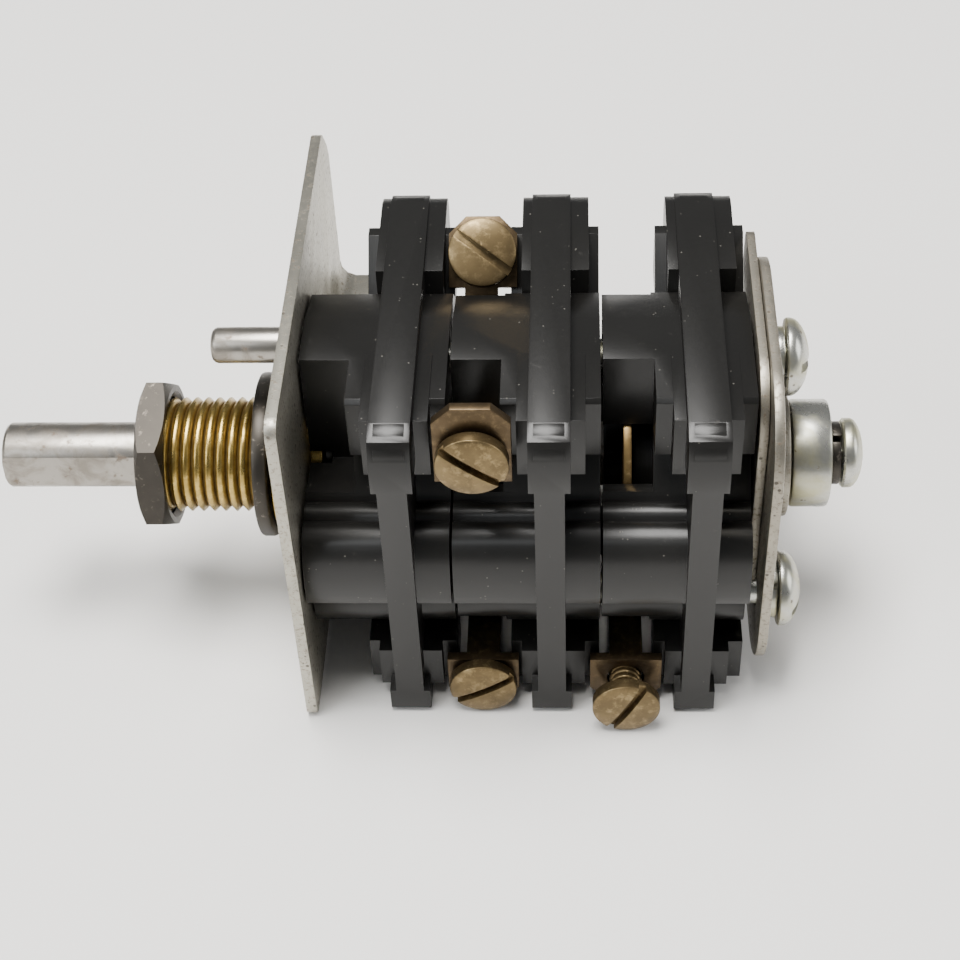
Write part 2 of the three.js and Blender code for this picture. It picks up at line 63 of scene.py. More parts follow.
BALL_R, BALL_CENTRE_R, SPRING_FOOT_R = 1.55, 9.15, 11.3

shaft_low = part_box("shaft")[0]
collar_low, collar_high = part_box("rear_collar")
AXIS = Vector((0, (collar_low.y + collar_high.y) / 2, (collar_low.z + collar_high.z) / 2))
PLATE_FACE = shaft_low.x - SHAFT_TIP * MM       # inner face of the mounting plate
ORIGIN = Vector((PLATE_FACE, AXIS.y, AXIS.z))


# ---- node trees -----------------------------------------------------------
class Value:
    """One output of a node tree, with arithmetic."""

    def __init__(self, tree, socket):
        self.tree, self.socket = tree, socket

    def math(self, operation, other):
        return self.tree.node("ShaderNodeMath", {"operation": operation}, {0: self, 1: other})

    def __add__(self, other):
        return self.math("ADD", other)

    __radd__ = __add__

    def __sub__(self, other):
        return self.math("SUBTRACT", other)

    def __rsub__(self, other):
        return self.tree.node("ShaderNodeMath", {"operation": "SUBTRACT"}, {0: other, 1: self})

    def __mul__(self, other):
        return self.math("MULTIPLY", other)

    __rmul__ = __mul__

    def __truediv__(self, other):
        return self.math("DIVIDE", other)

    def __rtruediv__(self, other):
        return self.tree.node("ShaderNodeMath", {"operation": "DIVIDE"}, {0: other, 1: self})

    def ramp(self, low, high):
        """0 below low, 1 above high, eased between."""
        return self.tree.node("ShaderNodeMapRange", {"interpolation_type": "SMOOTHSTEP"},
                              {"Value": self, "From Min": low, "From Max": high})


class Tree:
    """A node tree whose nodes are all made by one method."""

    def __init__(self, tree):
        self.tree = tree

    def node(self, kind, settings=None, inputs=None, output=0):
        made = self.tree.nodes.new(kind)
        for key, value in (settings or {}).items():
            setattr(made, key, value)
        for key, value in (inputs or {}).items():
            socket = made.inputs[key]
            if isinstance(value, Value):
                self.tree.links.new(value.socket, socket)
            else:
                socket.default_value = value
        return Value(self, made.outputs[output])


class Shader(Tree):
    """A surface material in Object coordinates."""

    def __init__(self, name):
        self.material = bpy.data.materials.new(name)
        self.material.use_nodes = True
        super().__init__(self.material.node_tree)
        self.tree.nodes.clear()
        self.place = self.node("ShaderNodeTexCoord", output="Object")

    def offset(self, x, y, z):
        return self.node("ShaderNodeVectorMath", {"operation": "ADD"},
                         {0: self.place, 1: (x, y, z)})

    def stretch(self, x, y, z, place=None):
        return self.node("ShaderNodeVectorMath", {"operation": "MULTIPLY"},
                         {0: place or self.place, 1: (x, y, z)})

    def noise(self, per_mm, detail=4, rough=0.55, place=None, warp=0.0):
        return self.node("ShaderNodeTexNoise", {"noise_dimensions": "3D"},
                         {"Vector": place or self.place, "Scale": per_mm / MM, "Detail": detail,
                          "Roughness": rough, "Distortion": warp}, output="Fac")

    def cells(self, per_mm):
        return self.node("ShaderNodeTexVoronoi", {"feature": "F1"},
                         {"Vector": self.place, "Scale": per_mm / MM}, output="Distance")

    def specks(self, per_mm, size, share):
        """Round grains of about size cells, on that share of the cells."""
        grain = self.cells(per_mm)
        patch = self.noise(per_mm * 0.37, 2, 0.6)
        return (1 - grain.ramp(size * 0.6, size)) * patch.ramp(1 - share, 1.04 - share)

    def mix(self, fac, a, b):
        return self.node("ShaderNodeMix", {"data_type": "RGBA"},
                         {0: fac, 6: a, 7: b}, output=2)

    def radius(self):
        """Distance from the shaft axis, in millimetres."""
        rel = self.offset(0, -AXIS.y, -AXIS.z)
        flat = self.stretch(0, 1 / MM, 1 / MM, rel)
        return self.node("ShaderNodeVectorMath", {"operation": "LENGTH"}, {0: flat},
                         output="Value")

    def spot(self, x, y, z, r):
        """1 inside a ball of radius r millimetres around a place, 0 outside."""
        rel = self.offset(-x, -y, -z)
        away = self.node("ShaderNodeVectorMath", {"operation": "LENGTH"}, {0: rel},
                         output="Value") / MM
        return 1 - away.ramp(r * 0.6, r)

    def bump(self, height, distance, strength):
        return self.node("ShaderNodeBump", None, {"Height": height, "Distance": distance * MM,
                                                  "Strength": strength})

    def finish(self, colour, rough, metallic, normal, shine=None):
        inputs = {"Base Color": colour, "Roughness": rough, "Metallic": metallic,
                  "Normal": normal}
        if shine is not None:
            inputs["Specular IOR Level"] = shine
        surface = self.node("ShaderNodeBsdfPrincipled", None, inputs)
        self.node_output(surface)
        return self.material

    def node_output(self, surface):
        out = self.tree.nodes.new("ShaderNodeOutputMaterial")
        self.tree.links.new(surface.socket, out.inputs["Surface"])


# ---- materials ------------------------------------------------------------
def phenolic():
    """Black compression moulding, satin, dusty and scuffed."""
    s = Shader("black_phenolic")
    broad = s.noise(0.06, 3, 0.6)
    fine = s.noise(2.2, 5, 0.6)
    dust = s.specks(1.3, 0.16, 0.42)
    scuff = s.noise(0.5, 6, 0.7, warp=0.6).ramp(0.62, 0.74) * broad.ramp(0.42, 0.62)
    base = s.mix(broad, (0.0052, 0.0050, 0.0047, 1), (0.0105, 0.0100, 0.0090, 1))
    worn = s.mix(scuff * 0.5, base, (0.040, 0.037, 0.032, 1))
    colour = s.mix(dust * 0.55, worn, (0.16, 0.15, 0.13, 1))
    rough = 0.27 + fine * 0.10 + scuff * 0.22 + dust * 0.3
    height = fine * 0.5 + s.noise(0.35, 3, 0.5) * 1.2
    return s.finish(colour, rough, 0.0, s.bump(height, 0.012, 0.6), shine=0.36)


def sheet_steel(name, light, stain):
    """Dull plated sheet with brown speckle."""
    s = Shader(name)
    broad = s.noise(0.09, 4, 0.65, warp=0.4)
    speckle = s.noise(1.7, 6, 0.75).ramp(0.50, 0.66)
    pits = s.specks(0.8, 0.22, 0.5)
    grain = s.noise(1, 3, 0.6, s.stretch(500, 500, 3800))
    plate = s.mix(broad.ramp(0.3, 0.7), light, [c * 0.78 for c in light[:3]] + [1])
    brown = s.mix(speckle * (0.45 + broad * 0.5), plate, stain)
    colour = s.mix(pits * 0.8, brown, (0.035, 0.024, 0.015, 1))
    rough = 0.36 + speckle * 0.18 + grain * 0.10 + pits * 0.2
    metallic = 0.92 - speckle * 0.35 - pits * 0.5
    height = grain * 0.4 + speckle * 0.8 - pits * 1.5
    return s.finish(colour, rough, metallic, s.bump(height, 0.02, 0.5))


def turned_steel():
    """Turned steel of the shaft and pin, with streaks and brown stain."""
    s = Shader("turned_steel")
    rings = s.noise(1, 3, 0.6, s.stretch(7000, 260, 260))
    drawn = s.noise(1, 4, 0.6, s.stretch(160, 1500, 1500))
    blotch = s.noise(0.28, 5, 0.65, warp=0.7).ramp(0.42, 0.68)
    rust = s.noise(0.55, 6, 0.7, s.offset(0.02, 0.01, 0)).ramp(0.57, 0.68)
    steel = s.mix(drawn, (0.24, 0.22, 0.195, 1), (0.41, 0.39, 0.35, 1))
    stained = s.mix(blotch * 0.55, steel, (0.15, 0.125, 0.095, 1))
    colour = s.mix(rust * 0.65, stained, (0.12, 0.070, 0.034, 1))
    rough = 0.24 + blotch * 0.16 + rust * 0.2 + rings * 0.1
    relief = s.bump(rings * 0.5 + drawn * 0.5, 0.008, 0.5)
    return s.finish(colour, rough, 0.95 - rust * 0.4, relief)


def thread_brass():
    """Golden brass, dark in the roots of the thread."""
    s = Shader("thread_brass")
    root = 1 - s.radius().ramp(THREAD_R - THREAD_DEPTH, THREAD_R - 0.25)
    dirt = s.noise(0.7, 5, 0.65)
    wear = s.noise(1, 3, 0.6, s.stretch(300, 2500, 2500))
    brass = s.mix(dirt.ramp(0.35, 0.65), (0.50, 0.36, 0.115, 1), (0.35, 0.24, 0.07, 1))
    colour = s.mix(root * 0.72, brass, (0.07, 0.035, 0.010, 1))
    rough = 0.22 + root * 0.22 + dirt * 0.12
    return s.finish(colour, rough, 1.0 - root * 0.35, s.bump(wear + dirt, 0.006, 0.5))


def terminal_brass(name, deep, clean, fresh):
    """Brass gone brown, with brighter metal where a driver or a wire wore it."""
    s = Shader(name)
    cloud = s.noise(0.22, 4, 0.6, warp=0.5).ramp(0.35, 0.65)
    grain = s.noise(2.2, 5, 0.7)
    wear = s.noise(0.8, 5, 0.7, s.offset(0.013, 0.004, 0.02)).ramp(0.48, 0.70)
    spots = s.specks(1.1, 0.2, 0.4)
    brown = s.mix(cloud, deep, [c * 0.66 for c in deep[:3]] + [1])
    metal = s.mix(wear * fresh, brown, clean)
    colour = s.mix(spots * 0.5 + grain.ramp(0.55, 0.75) * 0.25, metal, (0.045, 0.032, 0.018, 1))
    rough = 0.33 + grain * 0.14 - wear * 0.05 + spots * 0.15
    return s.finish(colour, rough, 0.9 - spots * 0.3, s.bump(grain + wear * 0.4, 0.010, 0.4))


def gunmetal():
    """Blackened steel of the nut and washer, bare at its worn places, with a painted reflection of
    a yellow object on the nut's lower front.
    """
    s = Shader("gunmetal")
    cloud = s.noise(0.2, 4, 0.6)
    bare = s.noise(0.9, 6, 0.7, warp=0.4).ramp(0.57, 0.66)
    # Painted reflection: a ragged olive-yellow patch on the lower front of the nut stands in for a
    # yellow object in front mirrored there. The patch is also rougher and not metallic.
    painted_reflection = s.spot(PLATE_FACE - 19.8 * MM, AXIS.y - 6.6 * MM, AXIS.z - 6.9 * MM, 2.1)
    ragged_reflection = painted_reflection * s.noise(1.2, 4, 0.7).ramp(0.42, 0.56)
    dark = s.mix(cloud, (0.030, 0.027, 0.023, 1), (0.070, 0.063, 0.054, 1))
    metal = s.mix(bare * 0.6, dark, (0.20, 0.175, 0.145, 1))
    # The olive-yellow colour mixed in here is the painted reflection, not paint on the nut.
    colour = s.mix(ragged_reflection, metal, (0.42, 0.44, 0.06, 1))
    rough = 0.34 + cloud * 0.14 + ragged_reflection * 0.2
    return s.finish(colour, rough, 0.9 - ragged_reflection * 0.9, s.bump(cloud + bare, 0.02, 0.4))


def zinc_plate():
    """Zinc plate with a yellowish passivated bloom."""
    s = Shader("zinc_plate")
    bloom = s.noise(0.16, 4, 0.6, warp=0.8).ramp(0.40, 0.66)
    spots = s.specks(0.9, 0.25, 0.45)
    grain = s.noise(2.4, 4, 0.6)
    zinc = s.mix(grain, (0.38, 0.38, 0.345, 1), (0.54, 0.54, 0.50, 1))
    yellow = s.mix(bloom * 0.6, zinc, (0.46, 0.43, 0.22, 1))
    colour = s.mix(spots * 0.7, yellow, (0.09, 0.062, 0.035, 1))
    rough = 0.27 + bloom * 0.16 + spots * 0.2
    return s.finish(colour, rough, 0.92 - spots * 0.3, s.bump(grain + spots, 0.01, 0.5))


def spring_steel():
    s = Shader("spring_steel")
    grain = s.noise(1.6, 4, 0.6)
    colour = s.mix(grain, (0.22, 0.21, 0.20, 1), (0.40, 0.39, 0.37, 1))
    return s.finish(colour, 0.25 + grain * 0.15, 0.95, s.bump(grain, 0.006, 0.4))


def table_top():
    s = Shader("table_top")
    cloud = s.noise(0.004, 3, 0.5)
    fine = s.noise(0.8, 3, 0.5)
    colour = s.mix(cloud, (0.83, 0.815, 0.79, 1), (0.87, 0.855, 0.83, 1))
    return s.finish(colour, 0.55 + fine * 0.1, 0.0, s.bump(fine, 0.005, 0.2))


# ---- mesh helpers ---------------------------------------------------------
def to_frame(x, y, z):
    """Design place, from the plate's inner face and the shaft axis, as a place in the frame."""
    return ORIGIN + Vector((x, y, z)) * MM


def new_object(name, mesh):
    made = bpy.data.objects.new(name, mesh)
    bpy.context.scene.collection.objects.link(made)
    return made


def from_bmesh(name, bm):
    bmesh.ops.recalc_face_normals(bm, faces=bm.faces)
    mesh = bpy.data.meshes.new(name)
    bm.to_mesh(mesh)
    bm.free()
    return new_object(name, mesh)


def revolve(name, profile, segments=96, ring=False):
    """Turned solid on the X axis from [x, r] points in millimetres. A ring's profile closes."""
    bm = bmesh.new()
    rows = []
    for x, r in profile:
        if r < 1e-6:
            rows.append([bm.verts.new((x, 0, 0))])
            continue
        turn = [2 * math.pi * i / segments for i in range(segments)]
        rows.append([bm.verts.new((x, r * math.cos(a), r * math.sin(a))) for a in turn])
    if ring:
        rows.append(rows[0])
    for low, high in zip(rows, rows[1:]):
        for i in range(segments):
            j = (i + 1) % segments
            corners = [low[i % len(low)], low[j % len(low)], high[j % len(high)],
                       high[i % len(high)]]
            unique = list(dict.fromkeys(corners))
            if len(unique) > 2:
                bm.faces.new(unique)
    return from_bmesh(name, bm)


def prism(name, points, x0, x1):
    """Outline of [y, z] points run along X, in millimetres."""
    bm = bmesh.new()
    low = [bm.verts.new((x0, y, z)) for y, z in points]
    high = [bm.verts.new((x1, y, z)) for y, z in points]
    bm.faces.new(low)
    bm.faces.new(high)
    count = len(points)
    for i in range(count):
        j = (i + 1) % count
        bm.faces.new((low[i], low[j], high[j], high[i]))
    return from_bmesh(name, bm)


def block(name, x0, x1, y0, y1, z0, z1):
    return prism(name, [(y0, z0), (y1, z0), (y1, z1), (y0, z1)], x0, x1)


def turned_matrix(axis, degrees):
    return Matrix.Rotation(math.radians(degrees), 4, axis)


def move(made, matrix):
    made.data.transform(matrix)
    return made


def bake(made):
    """The evaluated mesh takes the place of the modifiers."""
    depsgraph = bpy.context.evaluated_depsgraph_get()
    mesh = bpy.data.meshes.new_from_object(made.evaluated_get(depsgraph))
    made.modifiers.clear()
    old = made.data
    made.data = mesh
    bpy.data.meshes.remove(old)
    return made


def combine(made, tool, operation):
    mod = made.modifiers.new("combine", "BOOLEAN")
    mod.operation, mod.object, mod.solver = operation, tool, "EXACT"
    bake(made)
    bpy.data.objects.remove(tool)
    return made


def soften(made, width, segments=2, angle=32):
    """Rounds the sharp edges, as a mould or a worn tool leaves them."""
    mod = made.modifiers.new("soften", "BEVEL")
    mod.width, mod.segments, mod.limit_method = width, segments, "ANGLE"
    mod.angle_limit = math.radians(angle)
    mod.use_clamp_overlap = True
    mod.harden_normals = False
    bake(made)
    return shade(made)


def shade(made, angle=30):
    made.data.shade_smooth()
    limit = math.radians(angle)
    bm = bmesh.new()
    bm.from_mesh(made.data)
    for edge in bm.edges:
        edge.smooth = len(edge.link_faces) == 2 and edge.calc_face_angle(0) < limit
    bm.to_mesh(made.data)
    bm.free()
    return made


def frame_copy(node, name):
    """Copy of a CAD piece in millimetres around the axis, its flat faces whole again."""
    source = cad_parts[node]
    made = new_object(name, source.data.copy())
    bm = bmesh.new()
    bm.from_mesh(made.data)
    bmesh.ops.transform(bm, matrix=Matrix.Scale(1 / MM, 4) @ Matrix.Translation(-ORIGIN),
                        verts=bm.verts)
    bmesh.ops.remove_doubles(bm, verts=bm.verts, dist=1e-4)
    bmesh.ops.dissolve_limit(bm, angle_limit=math.radians(0.5), verts=bm.verts,
                             edges=bm.edges)
    bm.to_mesh(made.data)
    bm.free()
    made.data.materials.clear()
    return made


def settle(made, node, body, material):
    """Finishes a piece that stands for a CAD node."""
    made.data.materials.clear()
    made.data.materials.append(material)
    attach(made, body)
    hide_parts(node)
    return made


def in_frame(made):
    """From millimetres around the axis to the frame."""
    return move(made, Matrix.Translation(ORIGIN) @ Matrix.Scale(MM, 4))


# ---- threads and springs, by Geometry Nodes -------------------------------
def helix_tree():
    """Sweeps a section with a given number of corners along a helix."""
    group = bpy.data.node_groups.new("helix_wire", "GeometryNodeTree")
    face = group.interface
    for label, kind, value in (
            ("Turns", "NodeSocketFloat", 5.0), ("Radius", "NodeSocketFloat", 1.0),
            ("Height", "NodeSocketFloat", 1.0), ("Wire", "NodeSocketFloat", 0.2),
            ("Corners", "NodeSocketInt", 12), ("Steps", "NodeSocketInt", 32)):
        face.new_socket(label, in_out="INPUT", socket_type=kind).default_value = value
    face.new_socket("Material", in_out="INPUT", socket_type="NodeSocketMaterial")
    face.new_socket("Geometry", in_out="OUTPUT", socket_type="NodeSocketGeometry")
    tree = Tree(group)
    given = group.nodes.new("NodeGroupInput")
    taken = {s.name: Value(tree, s) for s in given.outputs if s.name}
    spiral = tree.node("GeometryNodeCurveSpiral", None,
                       {"Resolution": taken["Steps"], "Rotations": taken["Turns"],
                        "Start Radius": taken["Radius"], "End Radius": taken["Radius"],
                        "Height": taken["Height"]})
    upright = tree.node("GeometryNodeSetCurveNormal", {"mode": "Z_UP"}, {"Curve": spiral})
    section = tree.node("GeometryNodeCurvePrimitiveCircle", None,
                        {"Resolution": taken["Corners"], "Radius": taken["Wire"]})
    wire = tree.node("GeometryNodeCurveToMesh", None,
                     {"Curve": upright, "Profile Curve": section, "Fill Caps": True})
    whole = tree.node("GeometryNodeRealizeInstances", None, {"Geometry": wire})
    dressed = tree.node("GeometryNodeSetMaterial", None,
                        {"Geometry": whole, "Material": taken["Material"]})
    out = group.nodes.new("NodeGroupOutput")
    group.links.new(dressed.socket, out.inputs["Geometry"])
    return group


HELIX = helix_tree()


def helix(name, material, **values):
    """A helical wire along +Z, from the node group's named inputs."""
    made = new_object(name, bpy.data.meshes.new(name))
    mod = made.modifiers.new("helix", "NODES")
    mod.node_group = HELIX
    sockets = {s.name: s.identifier for s in HELIX.interface.items_tree if s.in_out == "INPUT"}
    for label, value in {**values, "Material": material}.items():
        mod[sockets[label.capitalize()]] = value
    return bake(made)


# ---- finishes -------------------------------------------------------------
PHENOLIC = phenolic()
PLATE = sheet_steel("plated_sheet", (0.46, 0.44, 0.375, 1), (0.125, 0.088, 0.05, 1))
REAR_PLATE = sheet_steel("rear_sheet", (0.34, 0.315, 0.26, 1), (0.105, 0.07, 0.038, 1))
STEEL = turned_steel()
BRASS = thread_brass()
TERMINAL = terminal_brass("terminal_brass", (0.175, 0.125, 0.06, 1), (0.34, 0.25, 0.125, 1), 0.6)
STRIP = terminal_brass("strip_brass", (0.095, 0.066, 0.036, 1), (0.19, 0.135, 0.07, 1), 0.5)
BLADE = terminal_brass("blade_brass", (0.46, 0.31, 0.13, 1), (0.66, 0.47, 0.22, 1), 0.8)
DARK = gunmetal()
ZINC = zinc_plate()
SPRING = spring_steel()

FIRST, PITCH, CONTACT_X = 0.3, 17.46, 2.95
BOLT_CIRCLE, BOLT_ANGLES = 16.8, (94, 214, 334)
DETENT_ANGLES, DETENT_X = (34, 154), FIRST + 9.8
DECK_END = FIRST + 3 * PITCH
REAR = DECK_END + 2.4
SHAFT_END = DECK_END + 10.3


def polar(r, degrees):
    a = math.radians(degrees)
    return r * math.cos(a), r * math.sin(a)


def ring(name, x0, x1, inner, outer, edge):
    """Washer with its outer edges rounded, in millimetres."""
    made = revolve(name, [(x0, inner), (x0, outer - edge), (x0 + edge * 0.3, outer - edge * 0.3),
                          (x0 + edge, outer), (x1 - edge, outer),
                          (x1 - edge * 0.3, outer - edge * 0.3), (x1, outer - edge),
                          (x1, inner)], ring=True)
    return shade(made, 40)


def split_ring(name, x0, thick, inner, outer, y, z, gap_angle):
    """Spring lock washer: a flat bar wound just short of one turn, its ends apart."""
    bm = bmesh.new()
    steps, spread = 72, 0.12
    loops = []
    for i in range(steps + 1):
        t = i / steps
        a = math.radians(gap_angle + 6 + 348 * t)
        x = x0 + spread * (t - 0.5)
        corners = [(x, inner), (x, outer), (x + thick, outer), (x + thick, inner)]
        loops.append([bm.verts.new((cx, y + r * math.cos(a), z + r * math.sin(a)))
                      for cx, r in corners])
    for low, high in zip(loops, loops[1:]):
        for i in range(4):
            j = (i + 1) % 4
            bm.faces.new((low[i], low[j], high[j], high[i]))
    bm.faces.new(loops[0])
    bm.faces.new(loops[-1])
    return from_bmesh(name, bm)


# ---- decks ----------------------------------------------------------------
def worked_copy(node, body, material, edge):
    made = frame_copy(node, node + "_detail")
    in_frame(soften(made, edge))
    return settle(made, node, body, material)


for deck in (1, 2, 3):
    worked_copy(f"deck_{deck}_housing", "switch_frame", PHENOLIC, 0.22)
for deck in (2, 3):
    worked_copy(f"deck_{deck}_rotor", "spindle", PHENOLIC, 0.3)
    worked_copy(f"deck_{deck}_blade", "spindle", BLADE, 0.12)
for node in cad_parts:
    if "_contact_" in node:
        worked_copy(node, "switch_frame", STRIP, 0.14)
worked_copy("mounting_plate", "switch_frame", PLATE, 0.18)
worked_copy("rear_inner_plate", "switch_frame", REAR_PLATE, 0.15)
worked_copy("rear_outer_plate", "switch_frame", REAR_PLATE, 0.18)
worked_copy("detent_wheel", "spindle", SPRING, 0.2)


# ---- detent ---------------------------------------------------------------
def detent_ball(index, angle):
    name = f"detent_ball_{index}"
    bm = bmesh.new()
    bmesh.ops.create_uvsphere(bm, u_segments=48, v_segments=24, radius=BALL_R)
    made = from_bmesh(name + "_detail", bm)
    y, z = polar(BALL_CENTRE_R, angle)
    move(made, Matrix.Translation((DETENT_X, y, z)))
    in_frame(shade(made, 60))
    settle(made, name, "switch_frame", SPRING)


def detent_spring(index, angle):
    name = f"detent_spring_{index}"
    made = helix(name + "_detail", SPRING, turns=2.5, radius=1.1, height=2.1, wire=0.28,
                 corners=14, steps=36)
    move(made, Matrix.Translation((0, 0, SPRING_FOOT_R)))
    move(made, turned_matrix("X", angle - 90))
    move(made, Matrix.Translation((DETENT_X, 0, 0)))
    in_frame(shade(made, 60))
    settle(made, name, "switch_frame", SPRING)


for index, angle in enumerate(DETENT_ANGLES, 1):
    detent_ball(index, angle)
    detent_spring(index, angle)


# ---- front hardware -------------------------------------------------------
def join_meshes(made, *others):
    """Adds the other pieces' meshes to the first piece."""
    bm = bmesh.new()
    bm.from_mesh(made.data)
    for other in others:
        bm.from_mesh(other.data)
        bpy.data.objects.remove(other)
    bm.to_mesh(made.data)
    bm.free()
    return made


def thread(name, x0, x1, crest, pitch, depth, material):
    """Helical ridge between two places on the X axis."""
    turns = (x1 - x0) / pitch
    made = helix(name, material, turns=turns, radius=crest - depth, height=x1 - x0,
                 wire=depth, corners=4, steps=64)
    move(made, turned_matrix("Y", 90))
    return move(made, Matrix.Translation((x0, 0, 0)))


def bushing():
    core = THREAD_R - THREAD_DEPTH
    back = -PLATE_T - GAP
    made = revolve("threaded_bushing_detail", [
        (BUSH_TIP, SHAFT_BORE_R + 0.25), (BUSH_TIP, core - 0.1), (BUSH_TIP + 0.3, core),
        (BUSH_SHOULDER, core), (BUSH_SHOULDER, SHOULDER_R - 0.2),
        (BUSH_SHOULDER + 0.2, SHOULDER_R), (back - 0.2, SHOULDER_R), (back, SHOULDER_R - 0.2),
        (back, 7), (0.3, 7), (0.3, 8.2), (1.5, 8.2), (1.5, SHAFT_BORE_R),
        (BUSH_TIP + 0.25, SHAFT_BORE_R)], ring=True)
    shade(made, 35)
    ridge = thread("ridge", BUSH_TIP + 0.75, BUSH_SHOULDER - 0.95, THREAD_R, THREAD_PITCH,
                   THREAD_DEPTH, BRASS)
    in_frame(join_meshes(made, ridge))
    settle(made, "threaded_bushing", "switch_frame", BRASS)


def nut():
    corner = NUT_FLATS / 2 / math.cos(math.pi / 6)
    made = prism("mounting_nut_detail", [polar(corner, 135 + 60 * k) for k in range(6)],
                 NUT_FROM, NUT_TO)
    mid = NUT_FLATS / 2 - 0.15
    lens = revolve("lens", [(NUT_FROM, 0), (NUT_FROM, mid), (NUT_FROM + 0.8, corner + 0.1),
                            (NUT_TO - 0.8, corner + 0.1), (NUT_TO, mid), (NUT_TO, 0)])
    combine(made, lens, "INTERSECT")
    clear, mouth = THREAD_R + GAP, 8.6
    bore = revolve("bore", [(NUT_FROM - 1, 0), (NUT_FROM - 1, mouth), (NUT_FROM + 0.7, clear),
                            (NUT_TO - 0.7, clear), (NUT_TO + 1, mouth), (NUT_TO + 1, 0)])
    combine(made, bore, "DIFFERENCE")
    soften(made, 0.14, angle=20)
    in_frame(made)
    settle(made, "mounting_nut", "nut", DARK)


def washer():
    made = in_frame(ring("panel_washer_detail", WASHER_FROM, WASHER_TO, THREAD_R + GAP,
                         WASHER_R, 0.35))
    settle(made, "panel_washer", "switch_frame", DARK)


def pin():
    back = -PLATE_T - GAP
    made = revolve("locating_pin_detail", [
        (PIN_TIP, 0), (PIN_TIP, 1.5), (PIN_TIP + 0.1, 1.8), (PIN_TIP + 0.35, 2.02),
        (PIN_TIP + 0.7, PIN_R), (back, PIN_R), (back, PIN_STEM_R), (-0.05, PIN_STEM_R),
        (-0.05, 0)], 64)
    move(made, Matrix.Translation((0, PIN_Y, PIN_Z)))
    in_frame(shade(made, 35))
    settle(made, "locating_pin", "switch_frame", STEEL)


def shaft():
    made = revolve("shaft_detail", [
        (SHAFT_TIP, 0), (SHAFT_TIP, 3.55), (SHAFT_TIP + 0.18, 3.85), (SHAFT_TIP + 0.5, SHAFT_R),
        (2.2, SHAFT_R), (2.2, 0)], 128)
    flat = block("flat", SHAFT_TIP - 1, FLAT_TO, -SHAFT_R - 1, -SHAFT_R + 0.65, -6, 6)
    combine(made, move(flat, turned_matrix("X", -5)), "DIFFERENCE")
    soften(made, 0.12, angle=18)
    square = block("square", 2.0, DECK_END + 2.5, -SQUARE / 2, SQUARE / 2,
                   -SQUARE / 2, SQUARE / 2)
    tail = revolve("tail", [
        (DECK_END + 2.2, TAIL_BORE_R), (DECK_END + 2.2, TAIL_R), (SHAFT_END, TAIL_R),
        (SHAFT_END, TAIL_BORE_R)], ring=True)
    in_frame(join_meshes(made, square, shade(tail)))
    settle(made, "shaft", "spindle", STEEL)


bushing()
nut()
washer()
pin()
shaft()


# ---- screws ---------------------------------------------------------------
def slotted(name, head, dome, radius, head_radius, length, slot_width, slot_depth):
    """Screw on the X axis, head towards -X, its bearing face at 0."""
    bow = [(-head + dome * (1 - math.cos(a)), head_radius * math.sin(a))
           for a in [math.radians(d) for d in range(0, 91, 10)]]
    rim = -head + dome
    made = revolve(name, [*bow, (rim + 0.15, head_radius), (-0.25, head_radius),
                          (0, head_radius - 0.3), (0, 0)], 80)
    slot = block("slot", -head - 1, -head + slot_depth, -head_radius - 1, head_radius + 1,
                 -slot_width / 2, slot_width / 2)
    combine(made, slot, "DIFFERENCE")
    soften(made, 0.1, angle=35)
    core = radius - 0.35
    shank = revolve("shank", [(-0.2, 0), (-0.2, core), (length - 0.4, core), (length, core - 0.35),
                              (length, 0)], 32)
    ridge = thread("ridge", 0.3, length - 0.5, radius, 0.8, 0.4, TERMINAL)
    return join_meshes(made, shade(shank, 35), ridge)


TERMINAL_SCREWS = {
    "deck_2_screw_high_front": {"deck": 1, "y": -21.1, "z": 19.8, "turn": 37, "length": 5.6},
    "deck_2_screw_low_front": {"deck": 1, "y": -21.1, "z": -18.3, "turn": -30, "length": 5.6},
    "deck_3_screw_low_front": {"deck": 2, "y": -24.1, "z": -18.3, "turn": -62, "length": 8.5},
    "deck_3_screw_low_back": {"deck": 2, "y": 21.1, "z": -18.3, "turn": 20, "length": 5.6,
                              "swing": 180},
    "deck_2_screw_high_back": {"deck": 1, "y": 12.114, "z": 21.886, "turn": 36, "length": 5.6,
                               "tilt": -45, "shift": 0.2},
}


def terminal_screw(name, deck, y, z, turn, length, swing=0, tilt=0, shift=0):
    made = slotted(name + "_detail", 2.1, 0.55, SCREW_R, HEAD_R, length, 1.0, 1.1)
    move(made, turned_matrix("X", turn))
    move(made, turned_matrix("Z", 90 - swing))
    move(made, turned_matrix("X", tilt))
    x = FIRST + deck * PITCH + CONTACT_X + shift
    in_frame(move(made, Matrix.Translation((x, y, z))))
    settle(made, name, name, TERMINAL)


for name, placing in TERMINAL_SCREWS.items():
    terminal_screw(name, **placing)


# ---- rear hardware --------------------------------------------------------
def through_bolt(index, angle):
    name = f"through_bolt_{index}"
    y, z = polar(BOLT_CIRCLE, angle)
    tip = 0.6 if index == 1 else -PLATE_T
    seat = REAR + 1.4
    bow = [(seat + 0.5 + (BOLT_HEAD_T - 0.5) * math.sin(a), BOLT_HEAD_R * math.cos(a))
           for a in [math.radians(d) for d in range(0, 91, 9)]]
    made = revolve(name + "_detail", [
        (tip, 0), (tip, BOLT_R - 0.3), (tip + 0.4, BOLT_R), (seat, BOLT_R),
        (seat, BOLT_HEAD_R - 0.15), (seat + 0.15, BOLT_HEAD_R), *bow], 72)
    slot = block("slot", seat + 1.6, seat + 4, -6, 6, -0.55, 0.55)
    combine(made, move(slot, turned_matrix("X", angle * 1.7)), "DIFFERENCE")
    soften(made, 0.1, angle=35)
    move(made, Matrix.Translation((0, y, z)))
    settle(in_frame(made), name, "switch_frame", ZINC)
    lock = f"bolt_lock_washer_{index}"
    coil = split_ring(lock + "_detail", REAR + 0.2, 1.0, 2.2, 3.6, y, z, 100 * index - 70)
    settle(in_frame(soften(coil, 0.1)), lock, "switch_frame", ZINC)


